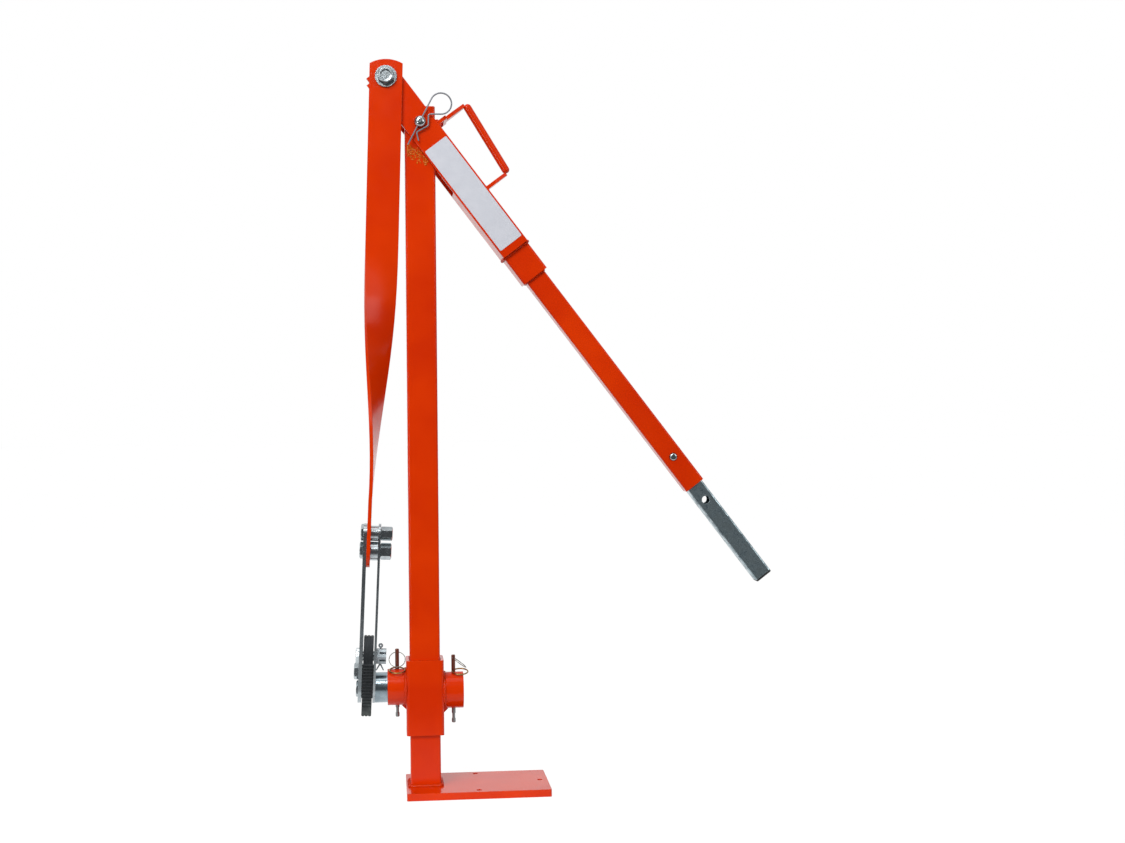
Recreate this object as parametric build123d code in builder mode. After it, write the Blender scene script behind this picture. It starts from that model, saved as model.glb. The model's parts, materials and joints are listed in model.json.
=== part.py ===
from build123d import *
import os
from math import cos, pi, radians, sin

# Hand-operated post and stake puller, in millimetres.
# +Z is up, +X runs along the foot plate away from the gripping head and -Y points to the user.
# The origin lies on the ground, on the centre line of the column.

# Foot plate
plate_length = 236
plate_width = 150
plate_thickness = 12
plate_heel = 32
plate_corner = 3
weld_toe = 0.5
fine_chamfer = 0.8
anchor_hole = 9
anchor_pair_x = 86
anchor_pair_spacing = 123
end_anchor_x = 191

# Column, a square tube with a welded bush for the lever's pin
column_side = 50
column_wall = 3
column_corner = 4
column_above_pin = 26
cap_thickness = 4
foot_weld = 6
pin_height = 1108
bush_outside = 28

# Pivot pin and its spring clip
pin_diameter = 19
pin_gap = 0.1
pin_head_diameter = 30
pin_head_thickness = 7
pin_dome = 7
clip_wire = 2.5
clip_hole_gap = 0.25
clip_stand_off = 3.75
clip_angle = 62.5
clip_leg_below = 43.4
clip_loop_radius = 17.3
clip_loop_reach = 41.9
clip_side_x = 13.75
clip_waist = (-5.95, -18.15)
clip_tail = (-2.5, -32.2)
clip_side_drop = 6.95
clip_bend = 4

# Lever head, a box with open webs where it straddles the column
lever_angle = -52.8
lever_drop = 2
cheek_gap = 0.5
head_wall = 6
head_height = 50
head_corner = 2
head_nose = 108
head_tail = 261
top_web_start = 120
bottom_web_start = 125
end_plate_thickness = 6
label_start = 44
label_length = 204.5
label_height = 44
label_thickness = 0.3

# Lever arm
coupler_side = 48
coupler_length = 55
coupler_corner = 4
coupler_weld = 5
arm_side = 36
arm_wall = 2.5
arm_gap = 0.5
arm_end = 757.5
arm_weld = 3
inner_wall = 2.5
inner_start = 560
inner_end = 950
tube_corner = 3
end_cap_thickness = 3.5
end_cap_plug = 12
button_diameter = 12.7
button_gap = 0.45
button_along = 696.6
button_pitch = 92
button_proud = 3.2
button_dome = 2.9
leaf_thickness = 0.8
leaf_width = 14
leaf_pad = 16
leaf_length = 52
leaf_gap = 0.3
leaf_bend = 10.8

# Carry handle, a round bar whose legs are hammered flat
handle_grip = 13
handle_grip_end = 6.3
handle_thickness = 6
handle_width = 20
handle_neck = 10
handle_front = 19
handle_back = 151
handle_rise_front = 82.2
handle_rise_back = 68.5
handle_leg_below = 3
handle_taper = 24
handle_foot_height = 17
handle_foot_gap = 10.2
handle_bead = 4

# Link, a flat bar with a quarter turn
link_width = 54
link_thickness = 6
link_gap = 0.5
link_end_arc = 55
link_top_above_bolt = 28.5
link_twist_top = 977
link_twist_bottom = 488
link_top_slope = 0.0325
link_twist_end_slope = 0.08
twist_steps = 14
link_bolt_along = 91
link_bolt_diameter = 16
link_bolt_gap = 0.5
link_washer_diameter = 35.6
link_washer_thickness = 3
inner_washer_diameter = 44
lever_window = 28
hex_flats = 24
hex_height = 10
nut_height = 13
bolt_tail = 2

# Collar
collar_side = 62
collar_wall = 5
collar_bottom = 97
collar_height = 124
collar_corner = 6

# Sockets of the collar and their lock pins
socket_outside = 60
socket_wall = 4
socket_stand_off = 3
left_socket_reach = 30.6
right_socket_reach = 32.7
left_socket_height = 174.2
right_socket_height = 167
root_ring_step = 2
root_bead = 7
lock_pin_diameter = 6.5
lock_pin_gap = 0.3
lock_pin_length = 113
lock_pin_left_x = 45.5
lock_pin_right_x = 47.7
lock_pin_left_top = 63.5
lock_pin_right_top = 58.5
lock_pin_neck = 4.8
lock_pin_neck_length = 9
lock_pin_bulb_length = 7
lock_pin_nose = 1.5
pull_ring_radius = 13.3
pull_ring_wire = 1.4
pull_ring_from_top = 5.5
pull_ring_lean_left = 30
pull_ring_lean_right = 53
stop_ring_radius = 12.8
stop_ring_wire = 2.4
stop_ring_droop = 14
stop_ring_above_socket = 2.6
stop_ring_turn_right = 60
ring_hole_gap = 0.4

# Gripping head: two side plates on the end of a pipe, leaning towards the column
pipe_outside = 50
pipe_wall = 4
pipe_end_gap = 3.5
pipe_hole = 9.6
grip_middle_x = -95.2
grip_lean = 2.65
grip_inside = 18.4
left_plate_thickness = 6
right_plate_thickness = 4
bolt_hole_gap = 0.25
plate_top_radius = 16
link_bolt_rise = 230
tie_bolt_rise = 259
tie_bolt_diameter = 14
spacer_bush_diameter = 31
tie_bush_diameter = 25
foot_head_height = 5.5
foot_nut_height = 18
tie_head_height = 4.5
tie_nut_height = 19
tie_nut_flats = 20

# Toothed jaw, its pivot and the block behind it
jaw_count = 3
jaw_plate_thickness = 5.4
jaw_pivot_y = -14
jaw_pivot_rise = 55
jaw_pivot_diameter = 16
jaw_pivot_gap = 0.1
jaw_face_y = -38
jaw_teeth_bottom = -30.5
jaw_tooth_pitch = 5
jaw_tooth_depth = 2
jaw_tooth_count = 15
jaw_tooth_tip = 3
jaw_top = 88.5
jaw_bottom = -41.5
jaw_back_y = -1
jaw_top_front = -24
jaw_top_back = -8
jaw_foot_front = -34
jaw_foot_back = -12
jaw_edge = 1.4
jaw_rivet = 6
jaw_rivet_inset = 14
jaw_rivet_y_top = -20
jaw_rivet_y_low = -23
jaw_hollow_y = -33
jaw_back_bulge = 1
castle_nut_height = 16
castle_slot = 4
castle_slot_floor = 5
cotter_wire = 3
cotter_eye = 4
cotter_leg = 23
cotter_spread = 6
cotter_overlap = 1
block_front_y = 2.5
block_depth = 14
block_bottom = -18
block_height = 56
block_bolt_diameter = 12
upper_block_bolt_rise = 25
lower_block_bolt_rise = -4
upper_block_head = 8
lower_block_head = 3.5

column_top = pin_height + column_above_pin
head_inside = column_side + 2 * cheek_gap
head_width = head_inside + 2 * head_wall
coupler_bore = arm_side + 2 * arm_gap
inner_side = arm_side - 2 * arm_wall - 2 * arm_gap
inner_bore = inner_side - 2 * inner_wall
bush_bore = pin_diameter + 2 * pin_gap
socket_bore = socket_outside - 2 * socket_wall
lever_cos = cos(radians(lever_angle))
lever_sin = sin(radians(lever_angle))
link_centre_y = -(head_width / 2 + link_gap + link_thickness / 2)
grip_cos = cos(radians(grip_lean))
grip_sin = sin(radians(grip_lean))


def lever_side(towards_user=0.0):
    """Plane beside the lever: X along the lever from the pin, Y to its upper side, Z to the user."""
    return Plane(origin=(0, -towards_user, pin_height), x_dir=(lever_cos, 0, lever_sin), z_dir=(0, -1, 0))


def lever_section(along):
    """Plane across the lever: X away from the user, Y to its upper side, Z along the lever."""
    x = along * lever_cos + lever_drop * lever_sin
    z = pin_height + along * lever_sin - lever_drop * lever_cos
    return Plane(origin=(x, 0, z), x_dir=(0, 1, 0), z_dir=(lever_cos, 0, lever_sin))


def grip_side(across=0.0):
    """Plane beside the gripping head: X away from the user, Y up the head, Z to the column."""
    origin = (grip_middle_x + across * grip_cos, 0, left_socket_height - across * grip_sin)
    return Plane(origin=origin, x_dir=(0, 1, 0), z_dir=(grip_cos, 0, -grip_sin))


def upright(x, z, y=0.0):
    """Plane square to Y at a point, facing the user."""
    return Plane(origin=(x, y, z), x_dir=(1, 0, 0), z_dir=(0, -1, 0))


def square_tube_section(side, bore, corner):
    """Outline of a square tube with round outer corners."""
    RectangleRounded(side, side, corner)
    Rectangle(bore, bore, mode=Mode.SUBTRACT)


def hexagon(flats):
    """Hexagon of a bolt head or nut by its width across flats."""
    RegularPolygon(radius=flats / 2, side_count=6, major_radius=False)


def save(piece, name):
    """Label a finished piece and write it as one STEP file."""
    piece.part.label = name
    export_step(piece.part, f"parts/{name}.step")


os.makedirs("parts", exist_ok=True)

# ---------------------------------------------------------------- foot plate and column
with BuildPart() as base_plate:
    with BuildSketch():
        with Locations((plate_length / 2 - plate_heel, 0)):
            RectangleRounded(plate_length, plate_width, plate_corner)
        with Locations((anchor_pair_x, 0)):
            with GridLocations(0, anchor_pair_spacing, 1, 2):
                Circle(anchor_hole / 2, mode=Mode.SUBTRACT)
        with Locations((end_anchor_x, 0)):
            Circle(anchor_hole / 2, mode=Mode.SUBTRACT)
    extrude(amount=plate_thickness)
save(base_plate, "base_plate")

with BuildPart() as column_tube:
    with BuildSketch(Plane.XY.offset(plate_thickness)):
        square_tube_section(column_side, column_side - 2 * column_wall, column_corner)
    extrude(amount=column_top - plate_thickness)
    with BuildSketch(upright(0, pin_height)):
        Circle(bush_outside / 2)
    extrude(amount=column_side, both=True, mode=Mode.SUBTRACT)
save(column_tube, "column_tube")

with BuildPart() as column_cap:
    with BuildSketch(Plane.XY.offset(column_top - cap_thickness)):
        Rectangle(column_side - 2 * column_wall, column_side - 2 * column_wall)
    extrude(amount=cap_thickness)
save(column_cap, "column_cap")

with BuildPart() as foot_weld_bead:
    with BuildSketch(Plane.XY.offset(plate_thickness)):
        bead_side = column_side + 2 * foot_weld
        RectangleRounded(bead_side, bead_side, column_corner + foot_weld)
    with BuildSketch(Plane.XY.offset(plate_thickness + foot_weld)):
        RectangleRounded(column_side + 2 * weld_toe, column_side + 2 * weld_toe, column_corner + weld_toe)
    loft()
    with BuildSketch(Plane.XY.offset(plate_thickness)):
        RectangleRounded(column_side, column_side, column_corner)
    extrude(amount=foot_weld, mode=Mode.SUBTRACT)
save(foot_weld_bead, "foot_weld_bead")

with BuildPart() as pivot_bush:
    with BuildSketch(upright(0, pin_height)):
        Circle(bush_outside / 2)
        Circle(bush_bore / 2, mode=Mode.SUBTRACT)
    extrude(amount=column_side / 2, both=True)
save(pivot_bush, "pivot_bush")

# ---------------------------------------------------------------- lever
with BuildPart() as lever_head:
    with BuildSketch(lever_section(-head_nose)):
        RectangleRounded(head_width, head_height, head_corner)
        Rectangle(head_inside, head_height - 2 * head_wall, mode=Mode.SUBTRACT)
    extrude(amount=head_nose + head_tail)
    # The webs are left out where the cheeks straddle the column.
    for web_start, side in ((top_web_start, 1), (bottom_web_start, -1)):
        with BuildSketch(lever_side()):
            with Locations(((web_start - head_nose) / 2, side * head_height / 2 - lever_drop)):
                Rectangle(web_start + head_nose, 2 * head_wall)
        extrude(amount=head_inside / 2, both=True, mode=Mode.SUBTRACT)
    with BuildSketch(lever_side()):
        Circle(bush_bore / 2)
        with Locations((-link_bolt_along, 0)):
            Circle(lever_window / 2)
    extrude(amount=head_width, both=True, mode=Mode.SUBTRACT)
save(lever_head, "lever_head")

with BuildPart() as head_end_plate:
    with BuildSketch(lever_section(head_tail - end_plate_thickness)):
        Rectangle(head_inside, head_height - 2 * head_wall)
    extrude(amount=end_plate_thickness)
save(head_end_plate, "head_end_plate")

with BuildPart() as coupler_tube:
    with BuildSketch(lever_section(head_tail)):
        square_tube_section(coupler_side, coupler_bore, coupler_corner)
    extrude(amount=coupler_length)
save(coupler_tube, "coupler_tube")


def weld_around(along, side, corner, length, base_across, base_up):
    """Fillet weld around a square tube of the lever, from its broad base to its thin edge."""
    with BuildPart() as bead:
        with BuildSketch(lever_section(along)):
            RectangleRounded(base_across, base_up, corner)
        with BuildSketch(lever_section(along + length)):
            RectangleRounded(side + 2 * weld_toe, side + 2 * weld_toe, corner)
        loft()
        with BuildSketch(lever_section(along)):
            RectangleRounded(side, side, corner)
        extrude(amount=length, mode=Mode.SUBTRACT)
    return bead


coupler_weld_bead = weld_around(
    head_tail, coupler_side, coupler_corner, coupler_weld, coupler_side + 2 * coupler_weld, head_height
)
save(coupler_weld_bead, "coupler_weld_bead")

with BuildPart() as extension_tube:
    with BuildSketch(lever_section(head_tail + arm_gap)):
        square_tube_section(arm_side, arm_side - 2 * arm_wall, tube_corner)
    extrude(amount=arm_end - head_tail - arm_gap)
    with BuildSketch(lever_side()):
        with Locations((button_along, -lever_drop)):
            Circle(button_diameter / 2 + button_gap)
    extrude(amount=arm_side, mode=Mode.SUBTRACT)
save(extension_tube, "extension_tube")

arm_weld_bead = weld_around(
    head_tail + coupler_length, arm_side, tube_corner, arm_weld, arm_side + 2 * arm_weld,
    arm_side + 2 * arm_weld
)
save(arm_weld_bead, "arm_weld_bead")

with BuildPart() as inner_tube:
    with BuildSketch(lever_section(inner_start)):
        square_tube_section(inner_side, inner_bore, tube_corner)
    extrude(amount=inner_end - inner_start)
    with BuildSketch(lever_side()):
        for step in (-1, 0, 1):
            with Locations((button_along + step * button_pitch, -lever_drop)):
                Circle(button_diameter / 2 + button_gap)
    extrude(amount=inner_side, both=True, mode=Mode.SUBTRACT)
save(inner_tube, "inner_tube")

with BuildPart() as end_cap:
    with BuildSketch(lever_section(inner_end)):
        RectangleRounded(inner_side, inner_side, tube_corner)
    extrude(amount=end_cap_thickness)
    with BuildSketch(lever_section(inner_end - end_cap_plug)):
        Rectangle(inner_bore, inner_bore)
    extrude(amount=end_cap_plug)
    chamfer(end_cap.faces().sort_by(Axis((0, 0, 0), (lever_cos, 0, lever_sin)))[-1].edges(), fine_chamfer)
save(end_cap, "end_cap")

leaf_front = inner_bore / 2 - leaf_gap
with BuildPart() as snap_button:
    with BuildSketch(lever_side(leaf_front)):
        with Locations((button_along, -lever_drop)):
            Circle(button_diameter / 2)
    extrude(amount=arm_side / 2 + button_proud - leaf_front)
    fillet(snap_button.faces().sort_by(Axis.Y)[0].edges(), button_dome)
    with BuildSketch(lever_side(leaf_front - leaf_thickness)):
        with Locations((button_along, -lever_drop)):
            Rectangle(leaf_pad, leaf_width)
    extrude(amount=leaf_thickness)
save(snap_button, "snap_button")

# The bent spring lies against the inner tube's back wall and ends beside the button's pad.
with BuildPart() as button_spring:
    with BuildSketch(Plane(
        origin=lever_section(button_along).origin, x_dir=(lever_cos, 0, lever_sin),
        z_dir=(lever_sin, 0, -lever_cos)
    )):
        with BuildLine():
            spring_start = -leaf_pad / 2 - leaf_gap
            leaf_line = leaf_front - leaf_thickness / 2
            FilletPolyline(
                (spring_start, leaf_line), (-leaf_length, leaf_line), (-leaf_length, -leaf_line),
                (leaf_pad / 2, -leaf_line), radius=leaf_bend
            )
        trace(line_width=leaf_thickness)
    extrude(amount=leaf_width / 2, both=True)
save(button_spring, "button_spring")

grip_start = lever_side().from_local_coords((handle_front, handle_rise_front))
grip_end = lever_side().from_local_coords((handle_back, handle_rise_back))
with BuildPart() as carry_handle:
    with BuildSketch(Plane(origin=grip_start, z_dir=grip_end - grip_start)):
        Circle(handle_grip / 2)
    extrude(amount=(grip_end - grip_start).length)
    fillet(carry_handle.edges().filter_by(GeomType.CIRCLE), handle_grip_end)
    # Each leg narrows to the grip's width. The front one stands on a foot that bridges the cheeks.
    for along, rise, foot in (
        (handle_front, handle_rise_front, handle_foot_gap), (handle_back, handle_rise_back, 0)
    ):
        bottom = head_height / 2 + foot
        top = rise + lever_drop - handle_leg_below
        with BuildSketch(lever_section(along)):
            with BuildLine():
                Polyline(
                    (-handle_width / 2, bottom), (handle_width / 2, bottom),
                    (handle_width / 2, top - handle_taper), (handle_neck / 2, top),
                    (-handle_neck / 2, top), (-handle_width / 2, top - handle_taper), close=True
                )
            make_face()
        extrude(amount=handle_thickness / 2, both=True)
    with BuildSketch(lever_section(handle_front)):
        with Locations((0, (head_height + handle_foot_height) / 2)):
            Rectangle(head_width - 2 * head_corner, handle_foot_height)
        with Locations((0, (head_height + handle_foot_gap) / 2)):
            Rectangle(head_inside, handle_foot_gap, mode=Mode.SUBTRACT)
    extrude(amount=handle_thickness / 2, both=True)
save(carry_handle, "carry_handle")

# Fillets on both faces of each leg: on the cheeks in front, across the top web behind.
head_top = head_height / 2 - lever_drop
foot_reach = head_width / 2 - head_corner - head_inside / 2
with BuildPart() as handle_weld_beads:
    for along, starts, length in (
        (handle_front, (-head_inside / 2 - foot_reach, head_inside / 2), foot_reach),
        (handle_back, (-handle_width / 2,), handle_width),
    ):
        for start in starts:
            with BuildSketch(lever_side(start)):
                for side in (-1, 1):
                    leg_face = along + side * handle_thickness / 2
                    with BuildLine():
                        Polyline(
                            (leg_face, head_top), (leg_face + side * handle_bead, head_top),
                            (leg_face, head_top + handle_bead), close=True
                        )
                    make_face()
            extrude(amount=length)
save(handle_weld_beads, "handle_weld_beads")

with BuildPart() as label:
    with BuildSketch(lever_side(head_width / 2)):
        with Locations((label_start + label_length / 2, -lever_drop)):
            RectangleRounded(label_length, label_height, head_corner)
    extrude(amount=label_thickness)
save(label, "label")

# ---------------------------------------------------------------- pivot pin and clip
clip_y = head_width / 2 + clip_stand_off + clip_wire / 2
clip_direction = (cos(radians(clip_angle)), 0, sin(radians(clip_angle)))
with BuildPart() as pivot_pin:
    with BuildSketch(upright(0, pin_height, head_width / 2 + pin_gap)):
        Circle(pin_diameter / 2)
    extrude(amount=head_width / 2 + pin_gap + clip_y + pin_diameter / 2 - clip_wire)
    fillet(pivot_pin.faces().sort_by(Axis.Y)[0].edges(), pin_dome)
    with BuildSketch(upright(0, pin_height, head_width / 2 + pin_gap)):
        Circle(pin_head_diameter / 2)
    extrude(amount=-pin_head_thickness)
    with BuildSketch(Plane(origin=(0, -clip_y, pin_height), z_dir=clip_direction)):
        Circle(clip_wire / 2 + clip_hole_gap)
    extrude(amount=pin_diameter, both=True, mode=Mode.SUBTRACT)
save(pivot_pin, "pivot_pin")

with BuildPart() as spring_clip:
    with BuildLine(upright(0, pin_height, -clip_y)) as clip_path:
        leg_start = (-clip_leg_below * clip_direction[0], -clip_leg_below * clip_direction[2])
        leg_end = (clip_loop_reach * clip_direction[0], clip_loop_reach * clip_direction[2])
        loop_x = leg_end[0] + clip_loop_radius * clip_direction[2]
        loop_z = leg_end[1] - clip_loop_radius * clip_direction[0]
        Line(leg_start, leg_end)
        CenterArc((loop_x, loop_z), clip_loop_radius, 90 + clip_angle, -(180 + clip_angle))
        FilletPolyline(
            (loop_x, loop_z - clip_loop_radius), (clip_side_x, loop_z - clip_loop_radius),
            (clip_side_x, -clip_side_drop), clip_waist, clip_tail, radius=clip_bend
        )
    with BuildSketch(Plane(origin=clip_path.wire() @ 0, z_dir=clip_direction)):
        Circle(clip_wire / 2)
    sweep(path=clip_path.wire())
save(spring_clip, "spring_clip")

# ---------------------------------------------------------------- link and its top bolt
link_bolt_x = -link_bolt_along * lever_cos
link_bolt_z = pin_height - link_bolt_along * lever_sin
link_across = link_thickness / 2 - grip_inside / 2
twist_length = link_twist_top - link_twist_bottom
twist_top_x = link_bolt_x + link_top_slope * (link_twist_top - link_bolt_z)
twist_end_x = (
    grip_middle_x + (link_twist_bottom - left_socket_height) * grip_sin / grip_cos + link_across / grip_cos
)


def twist_plane(part):
    """Level plane across the link at a part, 0 to 1, of its twist."""
    ease = part * part * (3 - 2 * part)
    bow = part * (1 - part) * ((1 - part) * -link_top_slope + part * link_twist_end_slope)
    x = twist_top_x + ease * (twist_end_x - twist_top_x) + bow * twist_length
    turn = ease * pi / 2
    height = link_twist_top - part * twist_length
    return Plane(origin=(x, link_centre_y, height), x_dir=(cos(turn), sin(turn), 0), z_dir=(0, 0, 1))


with BuildPart() as link_foot:
    with BuildSketch(grip_side(-grip_inside / 2)):
        with Locations((link_centre_y, link_bolt_rise)):
            Circle(link_width / 2)
            with Locations((0, link_width)):
                Rectangle(link_width, 2 * link_width)
    extrude(amount=link_thickness)
    split(bisect_by=Plane.XY.offset(link_twist_bottom), keep=Keep.BOTTOM)

with BuildPart() as twisted_link:
    for step in range(twist_steps + 1):
        with BuildSketch(twist_plane(step / twist_steps)):
            Rectangle(link_width, link_thickness)
    loft()
    with BuildSketch(upright(0, 0, link_centre_y)):
        with BuildLine():
            shoulder = link_bolt_z + link_top_above_bolt - link_end_arc
            shoulder += (link_end_arc**2 - (link_width / 2)**2)**0.5
            top_x = link_bolt_x + link_top_slope * link_top_above_bolt
            Polyline(
                (top_x - link_width / 2, shoulder), (twist_top_x - link_width / 2, link_twist_top),
                (twist_top_x + link_width / 2, link_twist_top), (top_x + link_width / 2, shoulder)
            )
            ThreePointArc(
                (top_x + link_width / 2, shoulder), (top_x, link_bolt_z + link_top_above_bolt),
                (top_x - link_width / 2, shoulder)
            )
        make_face()
    extrude(amount=link_thickness / 2, both=True)
    add(link_foot.part)
    with BuildSketch(upright(link_bolt_x, link_bolt_z)):
        Circle(link_bolt_diameter / 2 + link_bolt_gap)
    extrude(amount=head_width, mode=Mode.SUBTRACT)
    with BuildSketch(grip_side()):
        with Locations((link_centre_y, link_bolt_rise)):
            Circle(link_bolt_diameter / 2 + bolt_hole_gap)
        with Locations((link_centre_y, tie_bolt_rise)):
            Circle(tie_bolt_diameter / 2 + bolt_hole_gap)
    extrude(amount=-grip_inside, mode=Mode.SUBTRACT)
save(twisted_link, "twisted_link")

link_front_y = link_centre_y - link_thickness / 2
washer_front_y = link_front_y - link_washer_thickness
inner_washer_y = -head_inside / 2 + link_gap
inner_nut_y = inner_washer_y + link_washer_thickness

with BuildPart() as link_top_bolt:
    with BuildSketch(upright(link_bolt_x, link_bolt_z, washer_front_y)):
        hexagon(hex_flats)
    extrude(amount=hex_height)
    with BuildSketch(upright(link_bolt_x, link_bolt_z, washer_front_y)):
        Circle(link_bolt_diameter / 2)
    extrude(amount=washer_front_y - inner_nut_y - nut_height - bolt_tail)
    chamfer(link_top_bolt.faces().sort_by(Axis.Y)[0].edges(), fine_chamfer)
save(link_top_bolt, "link_top_bolt")

for name, y, diameter in (
    ("link_washer", link_front_y, link_washer_diameter),
    ("inner_washer", inner_nut_y, inner_washer_diameter),
):
    with BuildPart() as washer:
        with BuildSketch(upright(link_bolt_x, link_bolt_z, y)):
            Circle(diameter / 2)
            Circle(link_bolt_diameter / 2 + bolt_hole_gap, mode=Mode.SUBTRACT)
        extrude(amount=link_washer_thickness)
    save(washer, name)

with BuildPart() as link_top_nut:
    with BuildSketch(upright(link_bolt_x, link_bolt_z, inner_nut_y)):
        hexagon(hex_flats)
        Circle(link_bolt_diameter / 2, mode=Mode.SUBTRACT)
    extrude(amount=-nut_height)
save(link_top_nut, "link_top_nut")

# ---------------------------------------------------------------- collar and sockets
with BuildPart() as collar_tube:
    with BuildSketch(Plane.XY.offset(collar_bottom)):
        square_tube_section(collar_side, collar_side - 2 * collar_wall, collar_corner)
    extrude(amount=collar_height)
save(collar_tube, "collar_tube")

collar_face = collar_side / 2
sockets = (
    ("left", -1, left_socket_reach, left_socket_height, lock_pin_left_x, lock_pin_left_top),
    ("right", 1, right_socket_reach, right_socket_height, lock_pin_right_x, lock_pin_right_top),
)
for name, side, reach, height, pin_x, _ in sockets:
    with BuildPart() as socket:
        with BuildSketch(Plane(
            origin=(side * (collar_face + socket_stand_off), 0, height), x_dir=(0, 1, 0), z_dir=(side, 0, 0)
        )):
            Circle(socket_outside / 2)
            Circle(socket_bore / 2, mode=Mode.SUBTRACT)
        extrude(amount=reach - socket_stand_off)
        with BuildSketch(Plane.XY.offset(height)):
            with Locations((side * pin_x, 0)):
                Circle(lock_pin_diameter / 2 + lock_pin_gap)
        extrude(amount=socket_outside, both=True, mode=Mode.SUBTRACT)
    save(socket, f"{name}_socket")

with BuildPart() as socket_weld_beads:
    for _, side, _, height, _, _ in sockets:
        root = Plane(origin=(side * collar_face, 0, height), x_dir=(0, 1, 0), z_dir=(side, 0, 0))
        low = height - socket_outside / 2
        # A lump of weld under the socket, down the collar's side.
        with BuildSketch(Plane.XZ):
            with BuildLine():
                Polyline(
                    (side * collar_face, low - root_bead), (side * (collar_face + root_bead), low),
                    (side * (collar_face + root_bead), low + root_bead),
                    (side * collar_face, low + root_bead), close=True
                )
            make_face()
        extrude(amount=root_bead, both=True)
        with BuildSketch(root):
            Circle(socket_outside / 2)
        extrude(amount=2 * root_bead, mode=Mode.SUBTRACT)
        # The root run, set back from the socket's outside.
        with BuildSketch(root):
            Circle(socket_outside / 2 - root_ring_step)
            Circle(socket_bore / 2, mode=Mode.SUBTRACT)
        extrude(amount=socket_stand_off)
save(socket_weld_beads, "socket_weld_beads")

# ---------------------------------------------------------------- lock pins and their rings
for name, side, _, height, pin_x, pin_top in sockets:
    top = height + pin_top
    bottom = top - lock_pin_length
    ring_seat = height + socket_outside / 2 + stop_ring_above_socket
    ring_turn = 0 if side < 0 else radians(stop_ring_turn_right)
    droop = radians(stop_ring_droop)
    pull_hole = upright(0, 0).z_dir if side > 0 else Vector(1, 0, 0)
    with BuildPart() as lock_pin:
        with BuildSketch(Plane.XY.offset(bottom)):
            with Locations((side * pin_x, 0)):
                Circle(lock_pin_diameter / 2)
        extrude(amount=lock_pin_length)
        chamfer(lock_pin.faces().sort_by(Axis.Z)[-1].edges(), fine_chamfer)
        fillet(lock_pin.faces().sort_by(Axis.Z)[0].edges(), lock_pin_nose)
        with BuildSketch(Plane.XY.offset(bottom + lock_pin_bulb_length)):
            with Locations((side * pin_x, 0)):
                Circle(lock_pin_diameter)
                Circle(lock_pin_neck / 2, mode=Mode.SUBTRACT)
        extrude(amount=lock_pin_neck_length, mode=Mode.SUBTRACT)
        with BuildSketch(Plane(
            origin=(side * pin_x, 0, ring_seat),
            z_dir=(cos(ring_turn), sin(ring_turn) * cos(droop), sin(ring_turn) * sin(droop))
        )):
            Circle(stop_ring_wire / 2 + ring_hole_gap)
        extrude(amount=lock_pin_diameter, both=True, mode=Mode.SUBTRACT)
        with BuildSketch(Plane(origin=(side * pin_x, 0, top - pull_ring_from_top), z_dir=pull_hole)):
            Circle(pull_ring_wire / 2 + ring_hole_gap)
        extrude(amount=lock_pin_diameter, both=True, mode=Mode.SUBTRACT)
    save(lock_pin, f"lock_pin_{name}")

    stop_centre = Vector(side * pin_x, 0, ring_seat) + stop_ring_radius * Vector(
        sin(ring_turn), -cos(ring_turn) * cos(droop), -cos(ring_turn) * sin(droop)
    )
    with BuildPart() as stop_ring:
        with Locations(Plane(origin=stop_centre, z_dir=(0, sin(droop), -cos(droop)))):
            Torus(stop_ring_radius, stop_ring_wire / 2)
    save(stop_ring, f"stop_ring_{name}")

    # The left pull ring hangs towards the user, the right one leans out past its socket.
    if side < 0:
        lean = radians(pull_ring_lean_left)
        hang = Vector(0, -sin(lean), -cos(lean))
    else:
        lean = radians(pull_ring_lean_right)
        hang = Vector(sin(lean), 0, -cos(lean))
    pull_centre = Vector(side * pin_x, 0, top - pull_ring_from_top) + hang * pull_ring_radius
    with BuildPart() as pull_ring:
        with Locations(Plane(origin=pull_centre, z_dir=hang.cross(pull_hole))):
            Torus(pull_ring_radius, pull_ring_wire / 2)
    save(pull_ring, f"pull_ring_{name}")

# ---------------------------------------------------------------- gripping head
plate_face = grip_inside / 2
left_face = -plate_face - left_plate_thickness
right_face = plate_face + right_plate_thickness
block_y = block_front_y + block_depth / 2

with BuildPart() as head_pipe:
    with BuildSketch(Plane(
        origin=(-collar_face - pipe_end_gap, 0, left_socket_height), x_dir=(0, 1, 0), z_dir=(-1, 0, 0)
    )):
        Circle(pipe_outside / 2)
        Circle(pipe_outside / 2 - pipe_wall, mode=Mode.SUBTRACT)
    extrude(amount=-grip_middle_x)
    split(bisect_by=grip_side(right_face), keep=Keep.TOP)
    with BuildSketch(Plane.XY.offset(left_socket_height)):
        with Locations((-lock_pin_left_x, 0)):
            Circle(pipe_hole / 2)
    extrude(amount=pipe_outside, both=True, mode=Mode.SUBTRACT)
save(head_pipe, "head_pipe")

for name, across, thickness in (
    ("left_side_plate", left_face, left_plate_thickness),
    ("right_side_plate", plate_face, right_plate_thickness),
):
    with BuildPart() as side_plate:
        with BuildSketch(grip_side(across)):
            with BuildLine():
                CenterArc((link_centre_y, tie_bolt_rise), plate_top_radius, 0, 360)
                CenterArc((0, 0), pipe_outside / 2, 0, 360)
            make_hull()
            for y, rise, diameter in (
                (link_centre_y, tie_bolt_rise, tie_bolt_diameter + 2 * bolt_hole_gap),
                (link_centre_y, link_bolt_rise, link_bolt_diameter + 2 * bolt_hole_gap),
                (jaw_pivot_y, jaw_pivot_rise, jaw_pivot_diameter),
                (block_y, upper_block_bolt_rise, block_bolt_diameter),
                (block_y, lower_block_bolt_rise, block_bolt_diameter),
            ):
                with Locations((y, rise)):
                    Circle(diameter / 2, mode=Mode.SUBTRACT)
        extrude(amount=thickness)
    save(side_plate, name)

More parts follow.
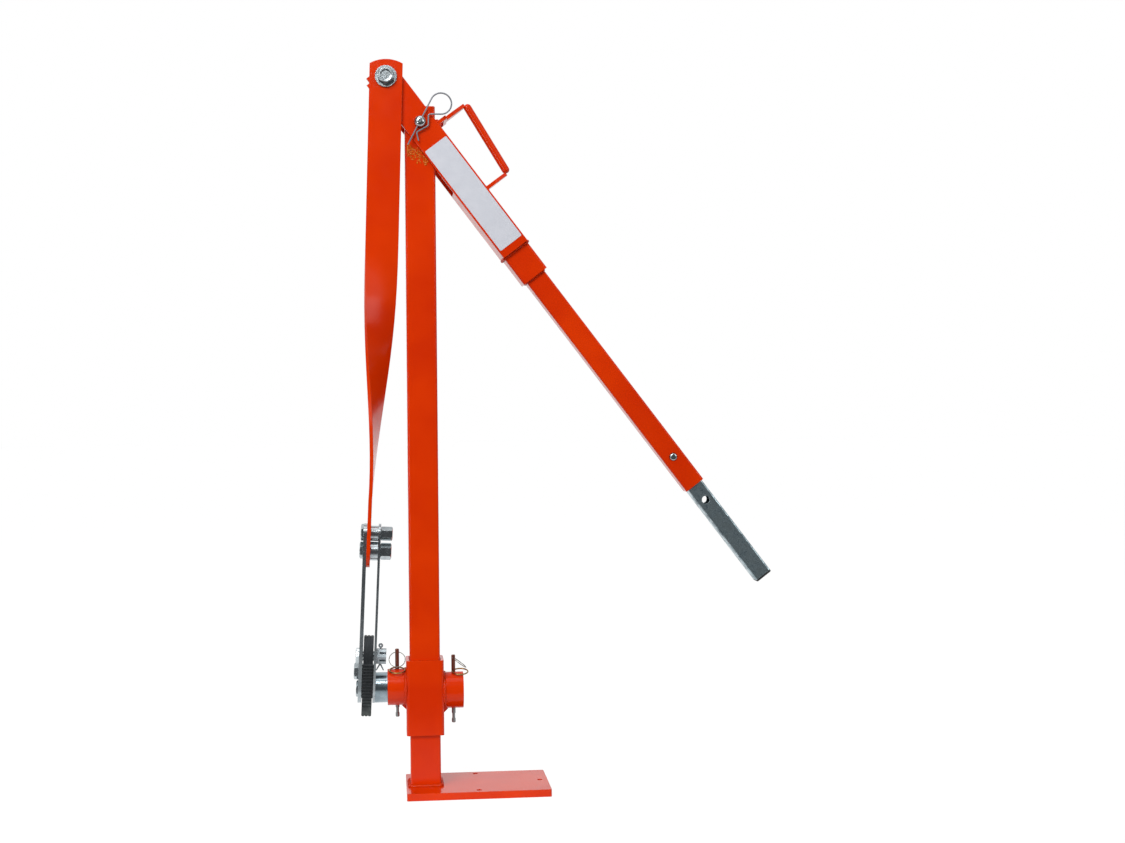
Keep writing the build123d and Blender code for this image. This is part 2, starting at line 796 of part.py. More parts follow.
with BuildPart() as jaw_block:
    with BuildSketch(grip_side()):
        with Locations((block_y, block_bottom + block_height / 2)):
            Rectangle(block_depth, block_height)
        for rise in (upper_block_bolt_rise, lower_block_bolt_rise):
            with Locations((block_y, rise)):
                Circle(block_bolt_diameter / 2, mode=Mode.SUBTRACT)
    extrude(amount=plate_face, both=True)
save(jaw_block, "jaw_block")

# Every bolt has its head on the left plate.
for name, y, rise, diameter, head, reach in (
    ("upper_block_bolt", block_y, upper_block_bolt_rise, block_bolt_diameter, upper_block_head, right_face),
    ("lower_block_bolt", block_y, lower_block_bolt_rise, block_bolt_diameter, lower_block_head, right_face),
    (
        "tie_bolt", link_centre_y, tie_bolt_rise, tie_bolt_diameter, tie_head_height,
        right_face + tie_nut_height
    ),
    (
        "link_foot_bolt", link_centre_y, link_bolt_rise, link_bolt_diameter, foot_head_height,
        right_face + foot_nut_height
    ),
    (
        "jaw_pivot_bolt", jaw_pivot_y, jaw_pivot_rise, jaw_pivot_diameter, foot_head_height,
        right_face + castle_nut_height
    ),
):
    with BuildPart() as bolt:
        with BuildSketch(grip_side(left_face)):
            with Locations((y, rise)):
                hexagon(hex_flats)
        extrude(amount=-head)
        chamfer(bolt.faces().sort_by(Axis.X)[0].edges(), fine_chamfer)
        with BuildSketch(grip_side(left_face)):
            with Locations((y, rise)):
                Circle(diameter / 2)
        extrude(amount=reach - left_face)
        if name == "jaw_pivot_bolt":
            cotter_across = right_face + castle_slot_floor + cotter_wire / 2
            cotter_hole = grip_side(cotter_across).from_local_coords((y, rise, 0))
            with BuildSketch(Plane(origin=cotter_hole, z_dir=(grip_sin, 0, grip_cos))):
                Circle(cotter_wire / 2 + bolt_hole_gap)
            extrude(amount=diameter, both=True, mode=Mode.SUBTRACT)
    save(bolt, name)

for name, rise, bore, outside in (
    ("tie_bush", tie_bolt_rise, tie_bolt_diameter, tie_bush_diameter),
    ("link_foot_bush", link_bolt_rise, link_bolt_diameter, spacer_bush_diameter),
):
    with BuildPart() as bush:
        with BuildSketch(grip_side(link_thickness - plate_face)):
            with Locations((link_centre_y, rise)):
                Circle(outside / 2)
                Circle(bore / 2 + bolt_hole_gap, mode=Mode.SUBTRACT)
        extrude(amount=grip_inside - link_thickness)
    save(bush, name)

for name, rise, bore, flats, height in (
    ("tie_nut", tie_bolt_rise, tie_bolt_diameter, tie_nut_flats, tie_nut_height),
    ("link_foot_nut", link_bolt_rise, link_bolt_diameter, hex_flats, foot_nut_height),
):
    with BuildPart() as nut:
        with BuildSketch(grip_side(right_face)):
            with Locations((link_centre_y, rise)):
                hexagon(flats)
                Circle(bore / 2, mode=Mode.SUBTRACT)
        extrude(amount=height)
    save(nut, name)

with BuildPart() as castle_nut:
    with BuildSketch(grip_side(right_face)):
        with Locations((jaw_pivot_y, jaw_pivot_rise)):
            hexagon(hex_flats)
    extrude(amount=castle_nut_height)
    with BuildSketch(grip_side(right_face + castle_slot_floor)):
        with Locations((jaw_pivot_y, jaw_pivot_rise)):
            for turn in (0, 60, 120):
                Rectangle(castle_slot, 2 * hex_flats, rotation=turn)
    extrude(amount=castle_nut_height, mode=Mode.SUBTRACT)
    with BuildSketch(grip_side(right_face)):
        with Locations((jaw_pivot_y, jaw_pivot_rise)):
            Circle(jaw_pivot_diameter / 2)
    extrude(amount=castle_nut_height, mode=Mode.SUBTRACT)
save(castle_nut, "castle_nut")

# The cotter's eye stands on the castle nut and its two legs are bent apart below.
cotter_plane = Plane(
    origin=grip_side(cotter_across).from_local_coords((jaw_pivot_y, jaw_pivot_rise, 0)),
    x_dir=(grip_cos, 0, -grip_sin), z_dir=(0, -1, 0)
)
cotter_shoulder = hex_flats / 2 + cotter_wire / 2
with BuildPart() as castle_cotter:
    with Locations(cotter_plane * Location((0, cotter_shoulder + cotter_eye, 0))):
        Torus(cotter_eye - cotter_wire / 2, cotter_wire / 2)
    with BuildSketch(Plane(origin=cotter_plane.origin, z_dir=cotter_plane.y_dir)):
        Circle(cotter_wire / 2)
    extrude(amount=cotter_shoulder + cotter_overlap)
    with BuildSketch(Plane(origin=cotter_plane.origin, z_dir=cotter_plane.y_dir)):
        Circle(cotter_wire / 2)
    extrude(amount=-cotter_shoulder)
    for side in (-1, 1):
        with BuildSketch(cotter_plane):
            with BuildLine():
                Polyline(
                    (0, cotter_overlap - cotter_shoulder),
                    (side * cotter_wire / 2, cotter_overlap - cotter_shoulder),
                    (side * (cotter_spread + cotter_wire / 4), -cotter_leg),
                    (side * (cotter_spread - cotter_wire / 4), -cotter_leg - cotter_overlap),
                    (0, -cotter_shoulder - cotter_wire / 2), close=True
                )
            make_face()
        extrude(amount=cotter_wire / 3, both=True)
save(castle_cotter, "castle_cotter")

# ---------------------------------------------------------------- jaw
jaw_width = jaw_count * jaw_plate_thickness
jaw_teeth_top = jaw_teeth_bottom + jaw_tooth_count * jaw_tooth_pitch
jaw_rivet_places = (
    (jaw_rivet_y_top, jaw_top - jaw_rivet_inset), (jaw_rivet_y_low, jaw_bottom + jaw_rivet_inset)
)
for index, name in enumerate(("left_jaw_plate", "middle_jaw_plate", "right_jaw_plate")):
    with BuildPart() as jaw_plate:
        with BuildSketch(grip_side(index * jaw_plate_thickness - jaw_width / 2)):
            with BuildLine():
                teeth = [(jaw_foot_front, jaw_bottom)]
                for tooth in range(jaw_tooth_count):
                    rise = jaw_teeth_bottom + tooth * jaw_tooth_pitch
                    teeth.append((jaw_face_y + jaw_tooth_depth, rise))
                    teeth.append((jaw_face_y, rise + jaw_tooth_tip))
                teeth.append((jaw_face_y + jaw_tooth_depth, jaw_teeth_top))
                Polyline(*teeth)
                ThreePointArc(
                    teeth[-1], (jaw_hollow_y, (jaw_teeth_top + jaw_top) / 2),
                    (jaw_top_front, jaw_top)
                )
                Line((jaw_top_front, jaw_top), (jaw_top_back, jaw_top))
                ThreePointArc(
                    (jaw_top_back, jaw_top), (jaw_back_y - jaw_back_bulge, (jaw_top + jaw_pivot_rise) / 2),
                    (jaw_back_y, jaw_pivot_rise)
                )
                Polyline(
                    (jaw_back_y, jaw_pivot_rise), (jaw_back_y, upper_block_bolt_rise),
                    (jaw_foot_back, jaw_bottom), (jaw_foot_front, jaw_bottom)
                )
            make_face()
            with Locations((jaw_pivot_y, jaw_pivot_rise)):
                Circle(jaw_pivot_diameter / 2 + jaw_pivot_gap, mode=Mode.SUBTRACT)
            with Locations(*jaw_rivet_places):
                Circle(jaw_rivet / 2, mode=Mode.SUBTRACT)
        extrude(amount=jaw_plate_thickness)
        chamfer(jaw_plate.edges().filter_by(Axis.Y), jaw_edge)
    save(jaw_plate, name)

with BuildPart() as jaw_rivets:
    with BuildSketch(grip_side()):
        with Locations(*jaw_rivet_places):
            Circle(jaw_rivet / 2)
    extrude(amount=jaw_width / 2, both=True)
save(jaw_rivets, "jaw_rivets")
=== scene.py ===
import json
import math
import random

import bmesh
import bpy
from mathutils import Matrix, Vector


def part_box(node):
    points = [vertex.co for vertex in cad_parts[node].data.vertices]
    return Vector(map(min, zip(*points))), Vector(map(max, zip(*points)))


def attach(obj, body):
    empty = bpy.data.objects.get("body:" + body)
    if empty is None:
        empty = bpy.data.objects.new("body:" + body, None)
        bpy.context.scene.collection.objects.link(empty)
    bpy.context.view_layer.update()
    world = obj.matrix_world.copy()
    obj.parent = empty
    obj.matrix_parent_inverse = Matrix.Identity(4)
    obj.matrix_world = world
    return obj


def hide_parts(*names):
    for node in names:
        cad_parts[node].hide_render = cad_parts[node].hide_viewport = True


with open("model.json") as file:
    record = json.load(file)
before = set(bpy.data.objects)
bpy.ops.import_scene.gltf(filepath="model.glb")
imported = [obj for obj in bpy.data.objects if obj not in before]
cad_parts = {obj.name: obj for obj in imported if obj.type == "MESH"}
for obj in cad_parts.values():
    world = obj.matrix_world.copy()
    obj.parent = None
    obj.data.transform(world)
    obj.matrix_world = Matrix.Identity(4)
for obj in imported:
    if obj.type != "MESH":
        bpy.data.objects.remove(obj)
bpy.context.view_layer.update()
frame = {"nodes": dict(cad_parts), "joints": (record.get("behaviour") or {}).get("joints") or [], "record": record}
nodes = frame["nodes"]
MM = 0.001
ACROSS = Vector((1, 0, 0))
DEPTH = Vector((0, 1, 0))
UP = Vector((0, 0, 1))

# Camera, at the photograph's viewing angle; lens and sensor in millimetres
LENS = 52.992
SENSOR_WIDTH = 36
CAMERA_PLACE = Vector((-64.2, -2765.2, 633.7)) * MM
CAMERA_YAW = math.radians(6.17)
CAMERA_PITCH = math.radians(-0.43)
CAMERA_ROLL = math.radians(-0.51)
CAMERA_REACH = 200

# Colours, as sRGB parts of 255
ORANGE = (226, 57, 0)
ORANGE_DEEP = (212, 46, 0)
# Lighter orange, a painted highlight along the paint's edges
ORANGE_EDGE_HIGHLIGHT = (240, 92, 20)
WELD_COLOUR = (210, 52, 0)
ZINC = (206, 214, 216)
ZINC_DARK = (150, 160, 166)
PIPE = (176, 192, 200)
PIPE_DARK = (116, 132, 140)
TUBE_ZINC = (206, 226, 232)
TUBE_ZINC_DARK = (64, 80, 90)
JAW = (46, 49, 52)
JAW_WORN = (92, 98, 96)
PIN = (142, 84, 66)
PIN_DARK = (84, 46, 36)
PIN_BARE = (138, 142, 142)
DULL_ZINC = (184, 194, 198)
DULL_ZINC_DARK = (122, 132, 138)
WIRE = (170, 172, 162)
WIRE_DARK = (98, 100, 92)
CLIP = (150, 154, 160)
CLIP_DARK = (112, 116, 124)
BRASS = (184, 150, 92)
BRASS_DARK = (120, 92, 50)
PLASTIC = (22, 22, 24)
PLASTIC_WORN = (46, 46, 48)
LABEL = (216, 218, 226)
LABEL_SHADE = (206, 209, 218)
SPRING = (96, 98, 104)
SPRING_DARK = (58, 60, 66)
# Golden spatter colours, a painted highlight that stands for the glints on the drops
SPATTER_GLINT = (244, 136, 34)
SPATTER_GLINT_DIM = (190, 84, 20)


def linear(colour):
    """Scene-linear RGBA of an sRGB colour given in parts of 255."""
    parts = [c / 255 for c in colour]
    return [c / 12.92 if c <= 0.04045 else ((c + 0.055) / 1.055) ** 2.4 for c in parts] + [1.0]


# ---------------------------------------------------------------- materials
# A Mix node's sockets for colours, which share their names with its other sockets
MIX_FACTOR = 0
MIX_FIRST = 6
MIX_SECOND = 7
MIX_RESULT = 2
# Cosine of the turn between the true and the rounded normal at which an edge counts as sharp
EDGE_COSINE = 0.75
# Values that a noise is stretched between, from soft to hard contrast
SOFT = (0.3, 0.7)
FIRM = (0.35, 0.65)
BROKEN = (0.35, 0.7)
HARD = (0.4, 0.62)


class Nodes:
    """A node tree and the short calls that build it."""

    def __init__(self, tree):
        self.tree = tree

    def add(self, kind, **inputs):
        """New node, with its inputs set to values or linked to sockets."""
        node = self.tree.nodes.new(kind)
        for name, value in inputs.items():
            self.feed(node.inputs[name.replace("_", " ")], value)
        return node

    def feed(self, socket, value):
        """Link a socket to an output, or set it to a value."""
        if isinstance(value, bpy.types.NodeSocket):
            self.tree.links.new(value, socket)
        else:
            socket.default_value = value

    def ramp(self, factor, low, high):
        """Factor stretched so that low gives 0 and high gives 1."""
        return self.add("ShaderNodeMapRange", Value=factor, From_Min=low, From_Max=high).outputs[0]

    def math(self, operation, first, second=0.0):
        """Sum, product or larger one of two values."""
        node = self.add("ShaderNodeMath")
        node.operation = operation
        self.feed(node.inputs[0], first)
        self.feed(node.inputs[1], second)
        return node.outputs[0]

    def between(self, factor, low, high, at_low, at_high):
        """Value that goes from at_low to at_high as the factor goes from low to high."""
        return self.add(
            "ShaderNodeMapRange", Value=factor,
            From_Min=low, From_Max=high, To_Min=at_low, To_Max=at_high
        ).outputs[0]

    def blend(self, factor, first, second):
        """Value between two values."""
        return self.add("ShaderNodeMix", Factor=factor, A=first, B=second).outputs[0]

    def mix(self, factor, first, second):
        """Colour between two colours."""
        node = self.add("ShaderNodeMix")
        node.data_type = "RGBA"
        self.feed(node.inputs[MIX_FACTOR], factor)
        self.feed(node.inputs[MIX_FIRST], first)
        self.feed(node.inputs[MIX_SECOND], second)
        return node.outputs[MIX_RESULT]


class Finish(Nodes):
    """A material and the calls that read its surface."""

    def __init__(self, name):
        self.material = bpy.data.materials.new(name)
        self.material.use_nodes = True
        super().__init__(self.material.node_tree)
        self.shader = self.tree.nodes["Principled BSDF"]
        self.place = self.add("ShaderNodeTexCoord").outputs["Object"]

    def noise(self, scale, detail=3.0, roughness=0.5, stretch=(1, 1, 1)):
        """Noise of the surface's place, with features of about 1 / scale metres."""
        mapping = self.add("ShaderNodeMapping", Vector=self.place, Scale=stretch)
        return self.add(
            "ShaderNodeTexNoise", Vector=mapping.outputs[0],
            Scale=scale, Detail=detail, Roughness=roughness
        ).outputs["Fac"]

    def edges(self, radius):
        """Value that rises from 0 on flat stretches to 1 on sharp edges, and the rounded normal."""
        rounded = self.add("ShaderNodeBevel", Radius=radius).outputs[0]
        flat = self.add("ShaderNodeNewGeometry").outputs["Normal"]
        dot = self.add("ShaderNodeVectorMath")
        dot.operation = "DOT_PRODUCT"
        self.feed(dot.inputs[0], rounded)
        self.feed(dot.inputs[1], flat)
        return self.ramp(dot.outputs["Value"], 1.0, EDGE_COSINE), rounded

    def bump(self, height, distance, normal):
        """Normal disturbed by a height, in metres."""
        return self.add(
            "ShaderNodeBump", Height=height, Distance=distance, Strength=1.0, Normal=normal
        ).outputs[0]

    def height(self):
        """Height of the surface's place at rest."""
        return self.add("ShaderNodeSeparateXYZ", Vector=self.place).outputs["Z"]

    def set(self, **inputs):
        """Set or link the shader's own inputs."""
        for name, value in inputs.items():
            self.feed(self.shader.inputs[name.replace("_", " ")], value)
        return self.material


# In each group of values, a name that ends in SCALE is a noise's, per metre.
PAINT_EDGE = 1.2 * MM
PAINT_WAVES = 0.10 * MM
PAINT_GRAIN = 0.02 * MM
PAINT_CLOUD_SCALE = 9
PAINT_HIGHLIGHT_PATCH_SCALE = 160
PAINT_WAVE_SCALE = 240
PAINT_GRAIN_SCALE = 1400
PAINT_GLOSS_SCALE = 40
# Share of the painted edge highlight where it is strongest
PAINT_EDGE_HIGHLIGHT_SHARE = 0.7
PAINT_ROUGH = (0.13, 0.22)
PAINT_SPECULAR = 0.17
CLEAR_COAT = 0.06
CLEAR_COAT_ROUGH = 0.12


def paint(name, colour, deep, edge_highlight, peel=1.0):
    """Powder coat: slightly wavy gloss, with a painted highlight in broken patches along its edges."""
    finish = Finish(name)
    edge, rounded = finish.edges(PAINT_EDGE)
    clouds = finish.ramp(finish.noise(PAINT_CLOUD_SCALE, detail=2.0), *FIRM)
    broad = finish.mix(clouds, linear(deep), linear(colour))
    # Painted highlight: the edges turn lighter, broken into patches by a noise
    highlight_patches = finish.ramp(finish.noise(PAINT_HIGHLIGHT_PATCH_SCALE), *BROKEN)
    patchy_edge_highlight = finish.math("MULTIPLY", edge, highlight_patches)
    base = finish.mix(finish.math("MULTIPLY", patchy_edge_highlight, PAINT_EDGE_HIGHLIGHT_SHARE), broad, linear(edge_highlight))
    waves = finish.noise(PAINT_WAVE_SCALE, detail=2.0)
    grain = finish.noise(PAINT_GRAIN_SCALE, detail=1.0)
    surface = finish.bump(waves, PAINT_WAVES * peel, rounded)
    surface = finish.bump(grain, PAINT_GRAIN * peel, surface)
    rough = finish.between(finish.noise(PAINT_GLOSS_SCALE, detail=4.0), *SOFT, *PAINT_ROUGH)
    return finish.set(
        Base_Color=base, Roughness=rough, Normal=surface, Specular_IOR_Level=PAINT_SPECULAR,
        Coat_Weight=CLEAR_COAT, Coat_Roughness=CLEAR_COAT_ROUGH
    )


METAL_EDGE = 0.7 * MM
METAL_MARKS = 0.02 * MM
METAL_MARK_SCALE = 420
METAL_CLOUD_SHARE = 0.6
METAL_MARK_SHARE = 0.4
METAL_EDGE_WEAR = 0.5
# Tones that count as darkest and palest, and what each adds to a metal's roughness
DARKEST = 0.2
PALEST = 0.8
DARK_ROUGH = 0.12
PALE_ROUGH = -0.06


def plated(name, colour, dark, rough, stretch=(1, 1, 1), metal=1.0, cloud=28, lower=None):
    """Bare or plated metal: cloudy tone, fine marks and bright worn edges.

    cloud is the scale of the clouds' noise, and stretch draws the fine marks out.
    lower is a node and the colour that shows on its lowest quarter.
    """
    finish = Finish(name)
    edge, rounded = finish.edges(METAL_EDGE)
    clouds = finish.ramp(finish.noise(cloud, detail=5.0, roughness=0.6), *FIRM)
    fine = finish.noise(METAL_MARK_SCALE, detail=3.0, roughness=0.6, stretch=stretch)
    fine = finish.ramp(fine, *SOFT)
    cloudy = finish.math("MULTIPLY", clouds, METAL_CLOUD_SHARE)
    marked = finish.math("MULTIPLY", fine, METAL_MARK_SHARE)
    tone = finish.math("ADD", cloudy, marked)
    base = finish.mix(tone, linear(dark), linear(colour))
    if lower:
        node, lower_colour = lower
        low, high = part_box(node)
        quarter = 0.25 * (high.z - low.z)
        bare = finish.ramp(finish.height(), low.z + 2 * quarter, low.z + quarter)
        base = finish.mix(bare, base, linear(lower_colour))
    base = finish.mix(finish.math("MULTIPLY", edge, METAL_EDGE_WEAR), base, linear(colour))
    surface = finish.bump(fine, METAL_MARKS, rounded)
    rough = finish.between(tone, DARKEST, PALEST, rough + DARK_ROUGH, rough + PALE_ROUGH)
    return finish.set(Base_Color=base, Metallic=metal, Roughness=rough, Normal=surface)


FORGED_EDGE = 0.8 * MM
FORGED_GRAIN = 0.08 * MM
FORGED_GRAIN_SCALE = 600
FORGED_PATCH_SCALE = 90
FORGED_METAL = 0.7
FORGED_ROUGH = 0.46
# Share of the jaw's height that is rubbed, from its lower end
RUBBED_SHARE = 0.32
# Wear of the rubbed faces, what it is more in patches, and the wear of edges in patches
RUBBED_ALL = 0.35
RUBBED_PATCHES = 0.6
RUBBED_EDGES = 0.8


def forged(name, colour, worn):
    """Blackened steel, greyer and rubbed bare towards its lower end and on the teeth."""
    finish = Finish(name)
    edge, rounded = finish.edges(FORGED_EDGE)
    low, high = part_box("middle_jaw_plate")
    rubbed = finish.ramp(finish.height(), low.z + RUBBED_SHARE * (high.z - low.z), low.z)
    patches = finish.ramp(finish.noise(FORGED_PATCH_SCALE, detail=5.0, roughness=0.65), *HARD)
    worn_faces = finish.math("ADD", finish.math("MULTIPLY", patches, RUBBED_PATCHES), RUBBED_ALL)
    worn_edges = finish.math("MULTIPLY", finish.math("MULTIPLY", edge, patches), RUBBED_EDGES)
    wear = finish.math("MAXIMUM", finish.math("MULTIPLY", rubbed, worn_faces), worn_edges)
    base = finish.mix(wear, linear(colour), linear(worn))
    grain = finish.noise(FORGED_GRAIN_SCALE, detail=4.0, roughness=0.6)
    surface = finish.bump(grain, FORGED_GRAIN, rounded)
    return finish.set(
        Base_Color=base, Metallic=FORGED_METAL, Roughness=FORGED_ROUGH, Normal=surface
    )


MOULDED_EDGE = 0.5 * MM
MOULDED_TONE_SCALE = 60
MOULDED_GRAIN_SCALE = 900
MOULDED_TONE = 0.6
MOULDED_EDGE_WEAR = 0.4
PLASTIC_GRAIN = 0.05 * MM
FILM_GRAIN = 0.01 * MM


def moulded(name, colour, worn, grain, rough):
    """Plastic or film with a fine grain."""
    finish = Finish(name)
    edge, rounded = finish.edges(MOULDED_EDGE)
    tone = finish.ramp(finish.noise(MOULDED_TONE_SCALE), *SOFT)
    base = finish.mix(finish.math("MULTIPLY", tone, MOULDED_TONE), linear(colour), linear(worn))
    base = finish.mix(finish.math("MULTIPLY", edge, MOULDED_EDGE_WEAR), base, linear(worn))
    surface = finish.bump(finish.noise(MOULDED_GRAIN_SCALE, detail=2.0), grain, rounded)
    return finish.set(Base_Color=base, Roughness=rough, Normal=surface)


LONG_MARKS = (1, 1, 0.08)
PIPE_MARKS = (4, 1, 1)
materials = {
    "orange_paint": paint("orange_paint", ORANGE, ORANGE_DEEP, ORANGE_EDGE_HIGHLIGHT),
    "weld": paint("weld", WELD_COLOUR, ORANGE_DEEP, ORANGE_EDGE_HIGHLIGHT, peel=3.0),
    "zinc": plated("zinc", ZINC, ZINC_DARK, rough=0.2),
    "pipe_zinc": plated("pipe_zinc", PIPE, PIPE_DARK, rough=0.2, stretch=PIPE_MARKS),
    "inner_zinc": plated("inner_zinc", TUBE_ZINC, TUBE_ZINC_DARK, rough=0.34, cloud=75),
    "jaw_steel": forged("jaw_steel", JAW, JAW_WORN),
    "pin_bronze": plated(
        "pin_bronze", PIN, PIN_DARK, rough=0.42, stretch=LONG_MARKS, metal=0.6,
        lower=("lock_pin_left", PIN_BARE)
    ),
    "dull_zinc": plated("dull_zinc", DULL_ZINC, DULL_ZINC_DARK, rough=0.44, metal=0.75),
    "ring_steel": plated("ring_steel", WIRE, WIRE_DARK, rough=0.3),
    "spring_wire": plated("spring_wire", CLIP, CLIP_DARK, rough=0.5, stretch=LONG_MARKS, metal=0.6),
    "brass": plated("brass", BRASS, BRASS_DARK, rough=0.34),
    "black_plastic": moulded("black_plastic", PLASTIC, PLASTIC_WORN, PLASTIC_GRAIN, rough=0.5),
    "label_film": moulded("label_film", LABEL, LABEL_SHADE, FILM_GRAIN, rough=0.22),
    "spring_steel": plated("spring_steel", SPRING, SPRING_DARK, rough=0.32),
    "spatter_glint": paint("spatter_glint", SPATTER_GLINT, SPATTER_GLINT_DIM, ORANGE_EDGE_HIGHLIGHT, peel=3.0),
}
slots = {part["node"]: part["material_slot"] for part in frame["record"]["subparts"]}
# Nodes of the zinc slot that are duller than the rest
dull_nodes = {"spring_clip": "spring_wire", "castle_nut": "dull_zinc", "castle_cotter": "dull_zinc"}
for name, node in nodes.items():
    node.data.materials.clear()
    node.data.materials.append(materials[dull_nodes.get(name, slots[name])])


# ---------------------------------------------------------------- helpers for the pieces
def add_piece(name, mesh_data, slot_name, body, replaced=(), finish=None):
    """Object made of a finished bmesh, on its body, with its slot's finish or another one."""
    mesh = bpy.data.meshes.new(name)
    mesh_data.to_mesh(mesh)
    mesh_data.free()
    piece = bpy.data.objects.new(name, mesh)
    bpy.context.scene.collection.objects.link(piece)
    mesh.materials.append(materials[finish or slot_name])
    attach(piece, body)
    for node in replaced:
        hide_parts(node)


def span(node, axis):
    """Least and greatest distance of a CAD node's points along an axis."""
    along = [v.co.dot(axis) for v in nodes[node].data.vertices]
    return min(along), max(along)


def middle(node):
    """Middle of a CAD node's box."""
    low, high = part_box(node)
    return (low + high) / 2


def ring(mesh_data, centre, side, up, radii):
    """Closed ring of points about a centre, with one radius for each."""
    count = len(radii)
    points = []
    for i, radius in enumerate(radii):
        turn = 2 * math.pi * i / count
        place = centre + side * radius * math.cos(turn) + up * radius * math.sin(turn)
        points.append(mesh_data.verts.new(place))
    return points


def close_ends(mesh_data, rings):
    """Faces over the first and the last of a row of rings."""
    mesh_data.faces.new(rings[0][::-1])
    mesh_data.faces.new(rings[-1])


def bridge(mesh_data, first, second, smooth=True):
    """Faces between two rings of the same number of points."""
    count = len(first)
    for i in range(count):
        after = (i + 1) % count
        face = mesh_data.faces.new((first[i], first[after], second[after], second[i]))
        face.smooth = smooth


# ---------------------------------------------------------------- weld runs
RIPPLE = 1.7 * MM
RINGS_PER_RIPPLE = 4
LEAST_RINGS = 6
WELD_SIDES = 12
# Shares of a run's size: its least radius, what each ripple adds, its uneven part and its wander
WELD_LEAST = 0.9
WELD_RISE = 0.2
WELD_UNEVEN = 0.08
WELD_WANDER = 0.04
# An open run starts at this share of its radius, and is full after an eighth of its length
WELD_TIP = 0.25
TIP_RISE = 6.0
TINY = 1e-9


def weld_run(mesh_data, path, size, seed, closed=False):
    """Run of weld along a path: a bead whose ripples overlap each other like scales."""
    chance = random.Random(seed)
    lengths = [0.0]
    for a, b in zip(path, path[1:]):
        lengths.append(lengths[-1] + (b - a).length)
    steps = max(LEAST_RINGS, round(lengths[-1] / RIPPLE * RINGS_PER_RIPPLE))
    rings = []
    for step in range(steps if closed else steps + 1):
        wanted = lengths[-1] * step / steps
        leg = max(i for i in range(len(path) - 1) if lengths[i] <= wanted + TINY)
        part = (wanted - lengths[leg]) / max(TINY, lengths[leg + 1] - lengths[leg])
        centre = path[leg].lerp(path[leg + 1], part)
        direction = (path[leg + 1] - path[leg]).normalized()
        side = direction.orthogonal().normalized()
        up = direction.cross(side)
        ripple = (wanted / RIPPLE) % 1.0
        swell = size * (WELD_LEAST + WELD_RISE * ripple**2 + WELD_UNEVEN * chance.uniform(-1, 1))
        taper = 1.0
        if not closed:
            taper = min(1.0, WELD_TIP + TIP_RISE * min(step, steps - step) / steps)
        centre = centre + side * chance.uniform(-WELD_WANDER, WELD_WANDER) * size
        rings.append(ring(mesh_data, centre, side, up, [swell * taper] * WELD_SIDES))
    for a, b in zip(rings, rings[1:]):
        bridge(mesh_data, a, b)
    if closed:
        bridge(mesh_data, rings[-1], rings[0])
    else:
        close_ends(mesh_data, rings)


# Points of a path round one corner of a tube, and round a whole socket
CORNER_POINTS = 5
CIRCLE_POINTS = 48


def square_path(centre, across, up, half, corner):
    """Closed path round a square tube with round corners."""
    inset = half - corner
    points = []
    for quarter, (sign_across, sign_up) in enumerate(((1, 1), (-1, 1), (-1, -1), (1, -1))):
        corner_centre = centre + across * sign_across * inset + up * sign_up * inset
        for i in range(CORNER_POINTS):
            turn = quarter * math.pi / 2 + (math.pi / 2) * i / (CORNER_POINTS - 1)
            point = corner_centre + across * corner * math.cos(turn)
            points.append(point + up * corner * math.sin(turn))
    points.append(points[0].copy())
    return points


column_low, column_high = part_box("column_tube")
half_column = (column_high.x - column_low.x) / 2
LEVER = (middle("end_cap") - middle("head_end_plate")).normalized()
LEVER_UP = LEVER.cross(DEPTH)


# Shares of the CAD bead's height and length that a run's size takes
FOOT_SHARE = 0.55
LEVER_SHARE = 0.5
# Shares of a run's size by which its middle stands off the two faces that it joins
FOOT_OFF = 0.35
LEVER_OFF = 0.3
LEVER_ALONG = 0.4
FOOT_CORNER = 5 * MM
LEVER_CORNER = 4 * MM


def foot_weld():
    """Run round the column's foot."""
    low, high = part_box("foot_weld_bead")
    size = FOOT_SHARE * (high.z - low.z)
    off = FOOT_OFF * size
    path = square_path(Vector((0, 0, low.z + off)), ACROSS, DEPTH, half_column + off, FOOT_CORNER)
    run = bmesh.new()
    weld_run(run, path, size, seed=3, closed=True)
    add_piece("foot_weld_run", run, "weld", "column", ["foot_weld_bead"])


def lever_weld(name, node, tube, seed):
    """Run round the end of one of the lever's square tubes."""
    start, end = span(node, LEVER)
    low, high = span(tube, LEVER_UP)
    size = LEVER_SHARE * (end - start)
    level = middle(tube)
    level = level + LEVER * (start + LEVER_ALONG * size - level.dot(LEVER))
    path = square_path(level, DEPTH, LEVER_UP, (high - low) / 2 + LEVER_OFF * size, LEVER_CORNER)
    run = bmesh.new()
    weld_run(run, path, size, seed, closed=True)
    add_piece(name, run, "weld", "lever", [node])


HANDLE_BAR = 6 * MM
HANDLE_LEG_HALF = 10 * MM
HANDLE_BEAD = 2.6 * MM
HANDLE_OFF = 0.3 * HANDLE_BEAD
CHEEK_BEAD_LENGTH = 4 * MM


